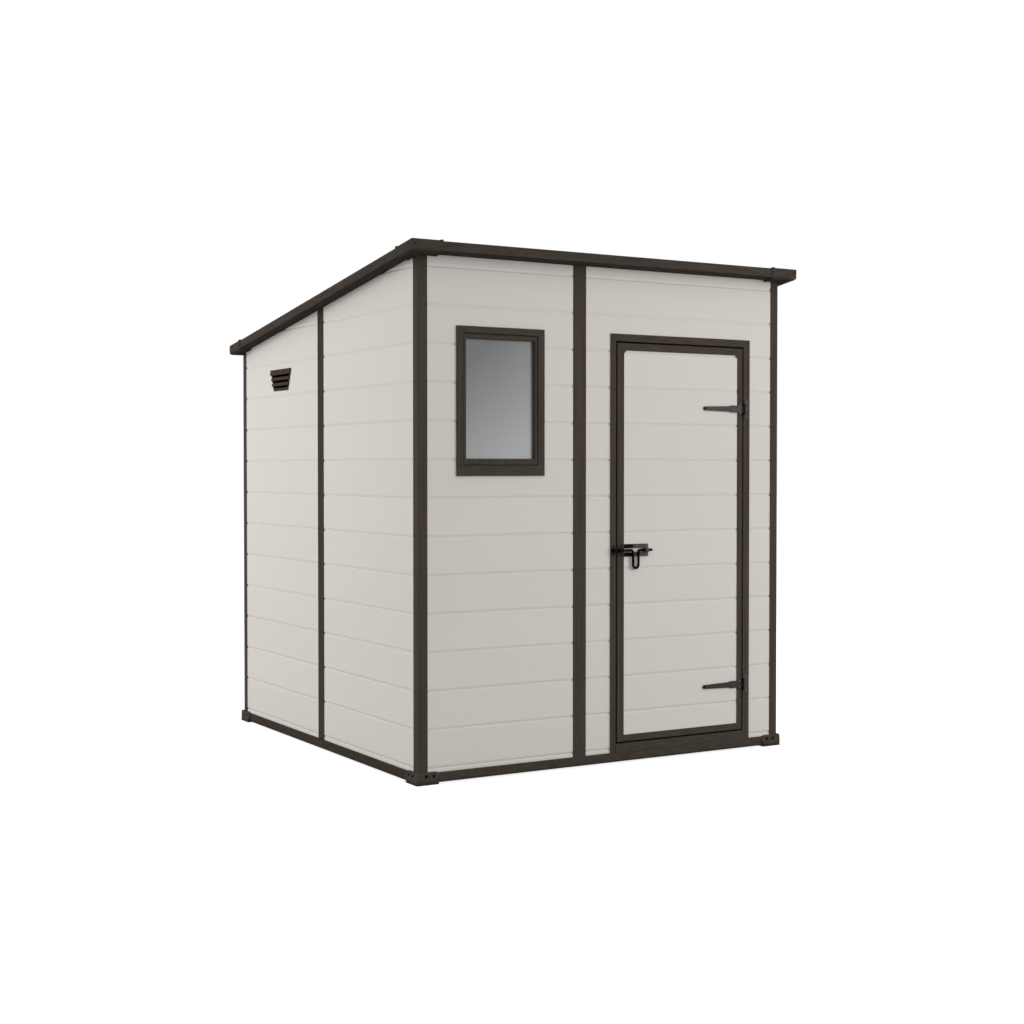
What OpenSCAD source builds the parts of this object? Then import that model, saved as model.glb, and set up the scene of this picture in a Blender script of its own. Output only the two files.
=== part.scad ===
// Plastic garden shed with a single-slope roof: panel walls in slotted posts,
// one outward-opening door on strap hinges, a sliding bolt, and a fixed window.
// Lengths are in millimetres. +X runs left to right across the front, +Y goes in
// from the front to the back, and +Z is up. The origin is on the ground, under
// the middle of the roof.

/* [Building] */
// Width over the corner posts
shed_w = 1830; // [1700:10:2400]
// Depth over the corner posts
shed_d = 1900; // [1500:10:2600]
// Height of the front wall at its outer face
eaves_h = 2105; // [2060:5:2300]
// Fall of the roof from front to back, in degrees
roof_slope = 8.2; // [4:0.1:10]

/* [Posts] */
// Width of a corner post on each face
post_w = 42; // [36:1:60]
// Width of a post in the middle of a wall
mid_post_w = 66.5; // [50:0.5:90]
// Rounding of the posts' outer edges
post_round = 3; // [1:0.5:6]
// Depth of the slots that hold the wall panels
seat_d = 12; // [8:1:14]

/* [Walls] */
// Thickness of a wall panel
panel_t = 16; // [12:1:18]
// Setback of the panels behind the posts' faces
panel_inset = 1.5; // [1:0.5:8]
// Height of one plank
plank_h = 153.75; // [120:0.25:200]
// Height of the lowest line between planks
first_line_z = 61; // [56:0.5:90]
// Width of the line between planks
line_w = 15; // [6:1:24]
// Depth of the line between planks
line_d = 4; // [1:0.5:5]
// Running clearance between a piece and its seat
fit = 0.3; // [0.1:0.1:0.5]

/* [Base] */
// Height of the base rail's underside above the ground
rail_lift = 6.5; // [3:0.5:8]
// Height of the base rail's top
rail_top = 45.5; // [38:0.5:50]
// Distance that the base rail stands out past the posts
rail_out = 6; // [4:0.5:12]
// Bevel along the base rail's upper outer edge
rail_bevel = 1; // [0.5:0.5:5]
// Height of the corner feet
foot_h = 50; // [48:0.5:60]
// Length of a foot along each wall
foot_leg = 93; // [70:1:120]
// Rounding of a foot's upper ends
foot_round = 20; // [10:1:22]
// Height of the plate under a foot
foot_plate_h = 12; // [11:0.5:16]
// Length of the plate under a foot along each wall
foot_plate_leg = 86; // [70:1:110]
// Thickness of a foot over the base rail
foot_wall = 3.5; // [2:0.5:6]
// Distance that a foot flares out from its top to the ground
foot_flare = 3.5; // [1:0.5:8]
// Rounding of a foot's upright corner
foot_corner = 8; // [2:1:10]
// Thickness of the floor panels
floor_t = 28; // [18:1:36]

/* [Door] */
// Width of the wall strip between the door and the corner post
hinge_strip_w = 121.5; // [60:0.5:150]
// Width of the wall strip between the middle post and the door
latch_strip_w = 121.5; // [60:0.5:150]
// Overall width of the door casing
casing_w = 750.5; // [700:0.5:800]
// Depth of the casing's top below the eaves
casing_drop = 275; // [200:1:300]
// Width of the casing's upright on the latch side
latch_jamb_w = 27; // [27:0.5:40]
// Width of the casing's upright on the hinge side
hinge_jamb_w = 35; // [27:0.5:40]
// Height of the casing's head
head_h = 31.5; // [28:0.5:45]
// Distance that the casing stands out past the posts
casing_out = 4; // [2:0.5:8]
// Height of the threshold
sill_top = 82; // [75:0.5:100]
// Gap between the door and its casing
door_gap = 7.5; // [5:0.5:8]
// Thickness of the door
door_t = 30; // [26:1:34]
// Width of the door's latch-side upright
latch_stile_w = 34; // [28:0.5:45]
// Width of the door's hinge-side upright
hinge_stile_w = 28; // [28:0.5:50]
// Height of the door's top rail
door_rail_top = 31; // [28:0.5:50]
// Height of the door's bottom rail
door_rail_bottom = 29; // [24:0.5:60]
// Setback of the door's panel behind its frame
door_lip = 2; // [1:0.5:6]
// Rounding of the door panel's upper corners
door_panel_round = 20; // [5:1:40]
// Width of the stop behind the door
door_stop = 11; // [8:1:16]

/* [Hinges] */
// Height of the lower hinge's middle
hinge_low_z = 293; // [220:1:500]
// Depth of the upper hinge's middle below the casing's top
hinge_drop = 308; // [220:1:500]
// Length of a hinge's strap from pin to tip
strap_l = 222; // [160:1:300]
// Height of the strap beside the pin
strap_h = 31; // [24:1:40]
// Height of the strap at its tip
strap_tip_h = 17; // [8:1:20]
// Height of the strap where its root ends
strap_neck_h = 25; // [18:1:30]
// Length of the strap's straight root
strap_root = 72; // [40:1:90]
// Width of the strap's foot on the door
strap_foot_w = 19; // [12:1:19]
// Height of the strap's foot on the door
strap_foot_h = 44; // [32:1:60]
// Thickness of the hinge's plates
hinge_t = 3; // [2:0.5:4]
// Radius of the hinge's knuckles
knuckle_r = 6; // [5:0.5:8]
// Overall length of the knuckles
knuckle_l = 50; // [48:1:90]
// Radius of the hinge pin
pin_r = 3; // [2:0.5:4]
// Height of the hinge's plate on the casing
hinge_plate_h = 90; // [80:1:110]
// Width of the hinge's plate on the casing
hinge_plate_w = 27; // [14:1:29]
// Running clearance round the hinge pin
pin_fit = 0.08; // [0.05:0.01:0.1]

/* [Latch] */
// Height of the bolt
bolt_z = 908; // [800:0.5:1100]
// Radius of the bolt's rod
bolt_r = 5.5; // [4:0.5:6]
// Gap between the bolt and the plate behind it
bolt_stand = 1.5; // [1:0.5:3]
// Length of the latch plate
latch_l = 154; // [140:1:170]
// Height of the latch plate
latch_h = 53; // [46:1:64]
// Thickness of the latch plate
latch_t = 2.5; // [2:0.5:4]
// Height of the slot in the latch plate
latch_slot_h = 18; // [14:1:30]
// Distance of the latch plate from the door's edge
latch_edge = 3.5; // [2:0.5:6]
// Length of each guide round the bolt
guide_l = 17; // [10:1:18]
// Distance of the guides from the ends of their plates
guide_end = 3; // [1:0.5:4]
// Wall of a guide round the bolt
guide_wall = 3; // [2:0.5:4]
// Running clearance round the bolt
bolt_fit = 0.4; // [0.2:0.1:0.6]
// Clear space between the drawn bolt's tip and the keeper
bolt_clear = 7; // [5:0.5:10]
// Distance that the bolt's tail stands out past the latch plate
tail_out = 15.5; // [10:0.5:40]
// Distance of the handle's middle from the latch plate's left end
handle_x = 85; // [75:1:88]
// Width of the handle between its legs' middles
handle_w = 28; // [24:1:34]
// Length of the handle below the bolt
handle_l = 76; // [60:1:100]
// Width of the keeper on the casing
keeper_w = 24; // [20:0.5:26]
// Distance of the keeper from the casing's edge
keeper_edge = 1.5; // [1:0.5:4]
// Height of the keeper on the casing
keeper_h = 46; // [36:1:60]

/* [Window] */
// Distance of the window's middle from the bay's middle, towards the corner
window_shift = 6; // [-30:1:30]
// Overall width of the window
window_w = 413.5; // [360:0.5:440]
// Overall height of the window
window_h = 602; // [400:1:620]
// Width of the window's frame at its sides
win_side = 31; // [26:0.5:36]
// Height of the window's frame at its top
win_top = 28; // [26:0.5:40]
// Height of the window's frame at its bottom
win_bottom = 42; // [36:0.5:60]
// Width of the bead at the pane's sides
bead_side = 13.5; // [10:0.5:20]
// Width of the bead at the pane's top
bead_top = 21.5; // [10:0.5:30]
// Width of the bead at the pane's bottom
bead_bottom = 27; // [10:0.5:36]
// Width of the groove round the bead
bead_groove = 2.5; // [1:0.5:4]
// Thickness of the bead's edge under the groove
bead_edge_t = 5; // [3:0.5:8]
// Distance that the window stands out past the posts
win_out = 6; // [3:0.5:10]
// Setback of the bead behind the window's face
bead_back = 4; // [2:0.5:6]
// Setback of the pane behind the window's face
pane_back = 21; // [14:0.5:24]
// Thickness of the pane
pane_t = 3; // [2:0.5:5]
// Overlap of the window's frame on the wall
win_lap = 18; // [12:0.5:20]

/* [Vents] */
// Depth of a vent's top below the roof, at the vent's middle
vent_drop = 177; // [120:1:260]
// Height of a vent
vent_h = 101; // [80:1:120]
// Width of a vent along its top
vent_top_w = 250; // [200:1:300]
// Width of a vent along its bottom
vent_bottom_w = 175; // [140:1:200]
// Distance of the vent's middle from the front
vent_y = 1410; // [1300:1:1500]
// Distance that a vent stands out from the wall
vent_out = 10; // [8:0.5:14]
// Width of a vent's rim
vent_rim = 11; // [10:0.5:18]
// Overlap of a vent's rim on the wall
vent_lap = 8; // [5:0.5:9]
// Number of hoods on a vent
hoods = 3; // [2:1:4]
// Thickness of a hood
hood_t = 2.5; // [2:0.5:3]
// Slope of a hood, from its top edge out to its bottom edge
hood_lean = 6.5; // [1:0.5:7]
// Height of the slot under each hood
hood_slot = 12; // [6:0.5:12]
// Height of the lowest hood above the vent's bottom
vent_foot_h = 23; // [20:0.5:28]

/* [Roof] */
// Overhang at the sides
over_side = 59; // [40:1:90]
// Overhang at the front
over_front = 62; // [40:1:90]
// Overhang at the back
over_back = 35; // [30:1:90]
// Height of the roof's edge frame
edge_h = 38.5; // [36:0.5:50]
// Thickness of the edge frame's walls
edge_t = 4; // [3:0.5:6]
// Width of the edge frame's top flange
edge_lap = 34; // [24:1:40]
// Thickness of the corner caps
cap_t = 3; // [2:0.5:4]
// Length of a corner cap along each edge
cap_leg = 142; // [110:1:160]
// Depth of the corner caps below the edge frame
cap_under = 6.5; // [4:0.5:10]
// Width of the bevel along a corner cap's lower edge
cap_bevel = 10; // [4:1:16]
// Thickness of the roof sheets
sheet_t = 10; // [6:1:12]
// Height of the ribs on the roof sheets
rib_h = 4; // [2:0.5:4]
// Distance between the ribs on the roof sheets
rib_pitch = 108; // [80:1:150]
// Width of the ribs on the roof sheets
rib_w = 34; // [24:1:50]
// Width of the cover strip between the roof sheets
strip_w = 44; // [36:1:60]
// Height of the beam under the roof
beam_h = 46; // [36:1:60]
// Width of the beam under the roof
beam_w = 40; // [30:1:60]

/* [Hidden] */
$fn = 48;

// Colours
trim_c = [0.26, 0.23, 0.20];
wall_c = [0.80, 0.78, 0.75];
metal_c = [0.16, 0.16, 0.16];
pane_c = [0.55, 0.55, 0.55, 0.8];
floor_c = [0.45, 0.43, 0.40];

// Reach of a cutting shape past what it cuts
cut = 10;
fall = tan(roof_slope);
plan_mid_y = (shed_d + over_back - over_front) / 2;

// Plan of the front
casing_x1 = shed_w - post_w - hinge_strip_w;
casing_x0 = casing_x1 - casing_w;
mid_front_x = casing_x0 - latch_strip_w - mid_post_w;
casing_top = eaves_h - casing_drop;
doorway_x0 = casing_x0 + latch_jamb_w;
doorway_x1 = casing_x1 - hinge_jamb_w;
door_x0 = doorway_x0 + door_gap;
door_x1 = doorway_x1 - door_gap;
doorway_z1 = casing_top - head_h;
door_z0 = sill_top + door_gap;
door_z1 = doorway_z1 - door_gap;
mid_side_y = (shed_d - mid_post_w) / 2;
mid_back_x = (shed_w - mid_post_w) / 2;

// Distances that a foot stands out, at its top and on the ground
foot_out_top = rail_out + foot_wall;
foot_out_base = foot_out_top + foot_flare;

// Depths, measured in from the posts' outer faces
panel_back = panel_inset + panel_t;
door_back = door_t - casing_out;
stop_y = door_back + door_gap;

// Door leaf
leaf_x0 = door_x0 + latch_stile_w;
leaf_x1 = door_x1 - hinge_stile_w;
leaf_z0 = door_z0 + door_rail_bottom;
leaf_z1 = door_z1 - door_rail_top;
door_seat = 10;
door_panel_y = door_lip - casing_out;

// Hinges: the pin stands over the gap beside the door, and knuckle_gap keeps the plates
// clear of the pin's line
pin_stand = 1;
knuckle_gap = 1;
pin_x = door_x1 + door_gap / 2;
pin_y = -casing_out - knuckle_r - pin_stand;

// Latch
latch_x0 = door_x0 + latch_edge;
latch_x1 = latch_x0 + latch_l;
latch_face = -casing_out - latch_t;
bolt_y = latch_face - bolt_r - bolt_stand;
keeper_x0 = casing_x0 + keeper_edge;
keeper_x1 = keeper_x0 + keeper_w;
bolt_tip_x = keeper_x1 + bolt_clear;
latch_end = 26;
bend_r = 10;
guide_r = bolt_r + bolt_fit + guide_wall;

// Window: its top is level with the casing's
window_x = (post_w + mid_front_x - window_w) / 2 - window_shift;
window_z = casing_top - window_h;
win_x1 = window_x + window_w;
win_z1 = casing_top;
win_face = -win_out;
pane_y = win_face + pane_back;
pane_x0 = window_x + win_side;
pane_x1 = win_x1 - win_side;
pane_z0 = window_z + win_bottom;
pane_z1 = win_z1 - win_top;
pane_lip = 8;
win_back = pane_y + pane_t + 5;

// Roof: heights are measured up from the sloping underside of the edge frame
edge_x0 = cap_t - over_side;
edge_y0 = cap_t - over_front;
edge_y1 = shed_d + over_back - cap_t;
sheet_w1 = edge_h - edge_t - fit;
sheet_w0 = sheet_w1 - sheet_t;
strip_t = 3;

function soffit_z(y) = eaves_h - fall * y;

// Vents: the outer edge of the hoods and the thickness of the flange on the wall
vent_z = soffit_z(vent_y) - vent_drop - vent_h;
vent_face = panel_inset - vent_out;
vent_flange_t = 2.5;

module box(x0, x1, y0, y1, z0, z1) {
    translate([x0, y0, z0]) cube([x1 - x0, y1 - y0, z1 - z0]);
}

// Runs a side view (depth, height) along X
module along_x(x0, x1) {
    translate([x0, 0, 0]) rotate([90, 0, 90]) linear_extrude(x1 - x0) children();
}

// Runs a front view (width, height) along Y
module along_y(y0, y1) {
    translate([0, y1, 0]) rotate([90, 0, 0]) linear_extrude(y1 - y0) children();
}

// Puts the building's left front corner where the frame has it
module place() {
    translate([-shed_w / 2, -plan_mid_y, 0]) children();
}

// Turns a left-hand piece into its right-hand twin
module to_right() {
    translate([shed_w, 0, 0]) mirror([1, 0, 0]) children();
}

// Turns a front piece into its back twin
module to_back() {
    translate([0, shed_d, 0]) mirror([0, 1, 0]) children();
}

// Side view of a strip that follows the roof, between two heights over the soffit
module roof_shape(y0, y1, w0, w1) {
    polygon([
        [y0, soffit_z(y0) + w0], [y1, soffit_z(y1) + w0],
        [y1, soffit_z(y1) + w1], [y0, soffit_z(y0) + w1]
    ]);
}

module roof_slab(x0, x1, y0, y1, w0, w1) {
    along_x(x0, x1) roof_shape(y0, y1, w0, w1);
}

// All the space between a height and the soffit
module under_roof(z0) {
    y0 = -over_front;
    y1 = shed_d + over_back;
    along_x(-over_side, shed_w + over_side)
        polygon([[y0, z0], [y1, z0], [y1, soffit_z(y1)], [y0, soffit_z(y0)]]);
}

// ---- Base ----

module floor_half() {
    box(post_w + fit, shed_w / 2 - fit / 2, post_w + fit, shed_d - post_w - fit, 0, floor_t);
}

module rail_profile() {
    polygon([
        [-rail_out, rail_lift], [post_w, rail_lift], [post_w, rail_top],
        [-rail_out + rail_bevel, rail_top], [-rail_out, rail_top - rail_bevel]
    ]);
}

module base_rail_front() {
    color(trim_c) place() along_x(-rail_out, shed_w + rail_out) rail_profile();
}

module base_rail_back() {
    color(trim_c) place() to_back() along_x(-rail_out, shed_w + rail_out) rail_profile();
}

module side_rail() {
    along_y(post_w, shed_d - post_w) rail_profile();
}

module base_rail_left() {
    color(trim_c) place() side_rail();
}

module base_rail_right() {
    color(trim_c) place() to_right() side_rail();
}

// Flared outer shape of a foot, seen from one side: a round-ended lug over a plate
module foot_outline() {
    lug_x = foot_leg - foot_round;
    polygon([
        [-foot_out_base, 0], [foot_plate_leg, 0], [foot_plate_leg, foot_plate_h],
        [lug_x, foot_plate_h], [lug_x, foot_h], [-foot_out_top, foot_h]
    ]);
    translate([lug_x, foot_h - foot_round]) circle(foot_round);
}

// Plan of a foot, rounded at its outer corner
module foot_plan() {
    x0 = -foot_out_base;
    r = foot_corner;
    translate([x0 + r, x0]) square(foot_leg + cut);
    translate([x0, x0 + r]) square(foot_leg + cut);
    translate([x0 + r, x0 + r]) circle(r);
}

module base_foot() {
    difference() {
        intersection() {
            along_x(-foot_out_base, foot_leg + cut) foot_outline();
            along_y(-foot_out_base, foot_leg + cut) foot_outline();
            linear_extrude(foot_h) foot_plan();
        }
        box(-rail_out, foot_leg + cut, -rail_out, foot_leg + cut, rail_lift, rail_top);
        box(0, foot_leg + cut, 0, foot_leg + cut, rail_lift, foot_h + cut);
        box(post_w, foot_leg + cut, post_w, foot_leg + cut, -cut, foot_h);
    }
}

module base_feet() {
    color(trim_c) place() {
        base_foot();
        to_right() base_foot();
        to_back() base_foot();
        to_right() to_back() base_foot();
    }
}

module floor_panels() {
    color(floor_c) place() {
        floor_half();
        to_right() floor_half();
    }
}

// ---- Posts ----

// Slot for a panel's edge that comes in along the profile's first axis
module panel_slot(depth) {
    translate([-depth, panel_inset - fit]) square([depth + cut, panel_t + 2 * fit]);
}

module corner_post_profile() {
    difference() {
        union() {
            translate([post_round, 0]) square([post_w - post_round, post_w]);
            translate([0, post_round]) square([post_w, post_w - post_round]);
            translate([post_round, post_round]) circle(post_round);
        }
        translate([post_w, 0]) panel_slot(seat_d);
        translate([0, post_w]) mirror([1, -1, 0]) panel_slot(seat_d);
    }
}

module mid_post_profile() {
    difference() {
        union() {
            translate([post_round, 0]) square([mid_post_w - 2 * post_round, post_w]);
            translate([0, post_round]) square([mid_post_w, post_w - post_round]);
            translate([post_round, post_round]) circle(post_round);
            translate([mid_post_w - post_round, post_round]) circle(post_round);
        }
        translate([mid_post_w, 0]) panel_slot(seat_d);
        mirror([1, 0, 0]) panel_slot(seat_d);
    }
}

module corner_post() {
    linear_extrude(eaves_h) corner_post_profile();
}

module mid_post() {
    linear_extrude(eaves_h) mid_post_profile();
}

// Stands posts and panels on the base rails and cuts them off under the roof
module standing() {
    place() intersection() {
        children();
        under_roof(rail_top);
    }
}

module corner_post_front_left() {
    color(trim_c) standing() corner_post();
}

module corner_post_front_right() {
    color(trim_c) standing() to_right() corner_post();
}

module corner_post_back_left() {
    color(trim_c) standing() to_back() corner_post();
}

module corner_post_back_right() {
    color(trim_c) standing() to_right() to_back() corner_post();
}

module mid_post_front() {
    color(trim_c) standing() translate([mid_front_x, 0, 0]) mid_post();
}

module mid_post_back() {
    color(trim_c) standing() to_back() translate([mid_back_x, 0, 0]) mid_post();
}

// Turns a front piece so that it stands in the left-hand side
module to_left_side() {
    mirror([1, -1, 0]) children();
}

module mid_post_left() {
    color(trim_c) standing() to_left_side() translate([mid_side_y, 0, 0]) mid_post();
}

module mid_post_right() {
    color(trim_c) standing() to_right() to_left_side() translate([mid_side_y, 0, 0]) mid_post();
}

// ---- Walls ----

// Section through a panel, with a line between each plank and the next: each plank's
// lower edge slopes in over two thirds of the line, and the next one's upper edge over the rest
module panel_profile() {
    low = line_w / 3;
    difference() {
        translate([panel_inset, rail_top]) square([panel_t, eaves_h - rail_top]);
        for (z = [first_line_z : plank_h : eaves_h])
            translate([panel_inset, z])
                polygon([[-1, -low], [0, -low], [line_d, 0], [0, 2 * low], [-1, 2 * low]]);
    }
}

// Panel between the slots of two posts whose faces are at x0 and x1
module panel(x0, x1) {
    along_x(x0 - seat_d + fit, x1 + seat_d - fit) panel_profile();
}

module front_wall_window() {
    color(wall_c) standing() difference() {
        panel(post_w, mid_front_x);
        box(
            window_x + win_lap, win_x1 - win_lap, 0, panel_back + cut,
            window_z + win_lap, win_z1 - win_lap
        );
    }
}

module front_wall_beside_latch() {
    color(wall_c) standing() panel(mid_front_x + mid_post_w, casing_x0);
}

module front_wall_beside_hinge() {
    color(wall_c) standing() panel(casing_x1, shed_w - post_w);
}

// Fills the space over the door, edge to edge with the strips beside it
module front_wall_over_door() {
    color(wall_c) standing() intersection() {
        along_x(casing_x0 + seat_d - fit, casing_x1 - seat_d + fit) panel_profile();
        box(0, shed_w, 0, post_w, casing_top - seat_d + fit, eaves_h);
    }
}

module left_wall_front() {
    color(wall_c) standing() to_left_side() panel(post_w, mid_side_y);
}

module right_wall_front() {
    color(wall_c) standing() to_right() to_left_side() panel(post_w, mid_side_y);
}

module back_wall_left() {
    color(wall_c) standing() to_back() panel(post_w, mid_back_x);
}

module back_wall_right() {
    color(wall_c) standing() to_back() panel(mid_back_x + mid_post_w, shed_w - post_w);
}

module side_wall_rear() {
    difference() {
        to_left_side() panel(mid_side_y + mid_post_w, shed_d - post_w);
        translate([0, vent_y, vent_z]) along_x(0, panel_back + cut) vent_shape(vent_lap);
    }
}

module left_wall_rear() {
    color(wall_c) standing() side_wall_rear();
}

module right_wall_rear() {
    color(wall_c) standing() to_right() side_wall_rear();
}

// ---- Window ----

module window_frame() {
    color(trim_c) place() difference() {
        union() {
            box(window_x, win_x1, win_face, panel_inset, window_z, win_z1);
            box(
                window_x + win_lap + fit, win_x1 - win_lap - fit, win_face, win_back,
                window_z + win_lap + fit, win_z1 - win_lap - fit
            );
        }
        box(pane_x0, pane_x1, win_face - cut, pane_y + pane_t + fit, pane_z0, pane_z1);
        box(
            pane_x0 + pane_lip, pane_x1 - pane_lip, pane_y, win_back + cut,
            pane_z0 + pane_lip, pane_z1 - pane_lip
        );
    }
}

// Holds the pane in the frame, with a groove all round it
module window_bead() {
    color(trim_c) place() difference() {
        union() {
            box(pane_x0 + fit, pane_x1 - fit, pane_y - bead_edge_t, pane_y, pane_z0 + fit, pane_z1 - fit);
            box(
                pane_x0 + bead_groove, pane_x1 - bead_groove, win_face + bead_back, pane_y,
                pane_z0 + bead_groove, pane_z1 - bead_groove
            );
        }
        box(
            pane_x0 + bead_side, pane_x1 - bead_side, win_face, pane_y + cut,
            pane_z0 + bead_bottom, pane_z1 - bead_top
        );
    }
}

module window_pane() {
    color(pane_c) place()
        box(pane_x0 + fit, pane_x1 - fit, pane_y, pane_y + pane_t, pane_z0 + fit, pane_z1 - fit);
}

// ---- Door casing ----

// Plan of the upright on the latch side, with the wall's slot and the door's stop
module jamb_profile(w) {
    difference() {
        union() {
            translate([0, -casing_out]) square([w, post_w + casing_out]);
            translate([0, stop_y]) square([w + door_stop, post_w - stop_y]);
        }
        mirror([1, 0, 0]) panel_slot(seat_d);
    }
}

module door_jamb(w) {
    translate([0, 0, rail_top]) linear_extrude(doorway_z1 - rail_top) jamb_profile(w);
}

module door_jambs() {
    color(trim_c) place() {
        translate([casing_x0, 0, 0]) door_jamb(latch_jamb_w);
        translate([casing_x1, 0, 0]) mirror([1, 0, 0]) door_jamb(hinge_jamb_w);
    }
}

module door_head() {
    color(trim_c) place() difference() {
        union() {
            box(casing_x0, casing_x1, -casing_out, post_w, doorway_z1, casing_top);
            box(
                doorway_x0 + door_stop, doorway_x1 - door_stop, stop_y, post_w,
                doorway_z1 - door_stop, doorway_z1
            );
        }
        translate([0, 0, casing_top]) along_x(casing_x0 - cut, casing_x1 + cut)
            translate([panel_inset - fit, -seat_d]) square([panel_t + 2 * fit, seat_d + cut]);
        translate([casing_x0, 0, 0]) linear_extrude(casing_top + cut)
            mirror([1, 0, 0]) panel_slot(seat_d);
        translate([casing_x1, 0, 0]) linear_extrude(casing_top + cut) panel_slot(seat_d);
    }
}

// Threshold, flush with the base rail's face
module door_sill() {
    color(trim_c) place() {
        box(doorway_x0, doorway_x1, -rail_out, stop_y, rail_top, sill_top);
        box(
            doorway_x0 + door_stop, doorway_x1 - door_stop, stop_y, post_w,
            rail_top, sill_top + door_stop
        );
    }
}

// ---- Door ----

// Front view of the hole in the door's frame, rounded at its upper corners
module door_hole_shape() {
    r = door_panel_round;
    translate([leaf_x0, leaf_z0]) square([leaf_x1 - leaf_x0, leaf_z1 - leaf_z0 - r]);
    translate([leaf_x0 + r, leaf_z0]) square([leaf_x1 - leaf_x0 - 2 * r, leaf_z1 - leaf_z0]);
    translate([leaf_x0 + r, leaf_z1 - r]) circle(r);
    translate([leaf_x1 - r, leaf_z1 - r]) circle(r);
}

// Room for the door panel, a little larger than it by a clearance
module door_panel_room(gap) {
    box(
        leaf_x0 - door_seat - gap, leaf_x1 + door_seat + gap,
        door_panel_y - gap, door_panel_y + panel_t + gap,
        leaf_z0 - door_seat - gap, leaf_z1 + door_seat + gap
    );
}

module door_frame() {
    color(trim_c) place() difference() {
        box(door_x0, door_x1, -casing_out, door_back, door_z0, door_z1);
        along_y(-casing_out - cut, door_back + cut) door_hole_shape();
        door_panel_room(fit);
    }
}

module door_panel() {
    color(wall_c) place() intersection() {
        translate([0, door_panel_y - panel_inset, 0]) along_x(door_x0, door_x1) panel_profile();
        door_panel_room(0);
    }
}

// ---- Hinges, drawn with the middle of the pin at the origin's height ----

// Front view of a strap: a foot beside the knuckles, a straight root and a tapered tongue
module strap_shape() {
    foot_x = -knuckle_r - knuckle_gap;
    tip_x = strap_tip_h / 2 - strap_l;
    translate([-strap_root, -strap_h / 2]) square([strap_root, strap_h]);
    translate([foot_x - strap_foot_w, -strap_foot_h / 2]) square([strap_foot_w, strap_foot_h]);
    polygon([
        [-strap_root, -strap_neck_h / 2], [-strap_root, strap_neck_h / 2],
        [tip_x, strap_tip_h / 2], [tip_x, -strap_tip_h / 2]
    ]);
    translate([tip_x, 0]) circle(strap_tip_h / 2);
}

module hinge_strap() {
    difference() {
        union() {
            along_y(-casing_out - hinge_t, -casing_out) strap_shape();
            translate([0, pin_y, -strap_h / 2]) cylinder(h = strap_h, r = knuckle_r);
        }
        translate([0, pin_y, -strap_h / 2 - cut]) cylinder(h = strap_h + 2 * cut, r = pin_r + pin_fit);
    }
}

module hinge_plate() {
    knuckle_z = strap_h / 2 + fit;
    translate([0, pin_y, -knuckle_l / 2]) cylinder(h = knuckle_l, r = pin_r);
    plate_x = knuckle_r - knuckle_gap;
    box(
        plate_x, plate_x + hinge_plate_w, -casing_out - hinge_t, -casing_out,
        -hinge_plate_h / 2, hinge_plate_h / 2
    );
    for (z = [knuckle_z, -knuckle_l / 2]) {
        translate([0, pin_y, z]) cylinder(h = knuckle_l / 2 - knuckle_z, r = knuckle_r);
        box(0, knuckle_r, -casing_out - hinge_t, -casing_out, z, z + knuckle_l / 2 - knuckle_z);
    }
}

module at_hinges() {
    for (z = [hinge_low_z, casing_top - hinge_drop])
        translate([pin_x, 0, z]) children();
}

module hinge_straps() {
    color(metal_c) place() at_hinges() hinge_strap();
}

module hinge_plates() {
    color(metal_c) place() at_hinges() hinge_plate();
}

// ---- Latch ----

// Round guide that holds the bolt off a plate
module bolt_guide(x0, x1) {
    difference() {
        union() {
            along_x(x0, x1) translate([bolt_y, bolt_z]) circle(guide_r);
            box(x0, x1, bolt_y, latch_face, bolt_z - guide_r, bolt_z + guide_r);
        }
        along_x(x0 - cut, x1 + cut) translate([bolt_y, bolt_z]) circle(bolt_r + bolt_fit);
    }
}

module latch_plate() {
    color(metal_c) place() {
        difference() {
            box(
                latch_x0, latch_x1, latch_face, -casing_out,
                bolt_z - latch_h / 2, bolt_z + latch_h / 2
            );
            box(
                latch_x0 + latch_end, latch_x1 - latch_end, latch_face - cut, 0,
                bolt_z - latch_slot_h / 2, bolt_z + latch_slot_h / 2
            );
        }
        bolt_guide(latch_x0, latch_x0 + guide_l);
        bolt_guide(latch_x1 - guide_end - guide_l, latch_x1 - guide_end);
    }
}

module rod(x0, x1) {
    translate([x0, 0, 0]) rotate([0, 90, 0]) cylinder(h = x1 - x0, r = bolt_r);
}

// Quarter or half turn of the rod about the origin, in the door's plane
module rod_bend(radius, from, turn) {
    rotate([90, 0, 0]) rotate([0, 0, from]) rotate_extrude(angle = turn)
        translate([radius, 0]) circle(bolt_r);
}

module latch_bolt() {
    leg = handle_w / 2;
    middle = latch_x0 + handle_x;
    color(metal_c) place() translate([middle, bolt_y, bolt_z]) {
        rod(bolt_tip_x - middle, -leg - bend_r);
        rod(leg + bend_r, latch_x1 + tail_out - middle);
        translate([-leg - bend_r, 0, -bend_r]) rod_bend(bend_r, 0, 90);
        translate([leg + bend_r, 0, -bend_r]) rod_bend(bend_r, 90, 90);
        for (x = [-leg, leg])
            translate([x, 0, leg - handle_l]) cylinder(h = handle_l - leg - bend_r, r = bolt_r);
        translate([0, 0, leg - handle_l]) rod_bend(leg, 180, 180);
    }
}

module latch_keeper() {
    color(metal_c) place() {
        box(
            keeper_x0, keeper_x1, latch_face, -casing_out,
            bolt_z - keeper_h / 2, bolt_z + keeper_h / 2
        );
        bolt_guide(keeper_x0 + guide_end, keeper_x1 - guide_end);
    }
}

// ---- Vents ----

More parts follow.
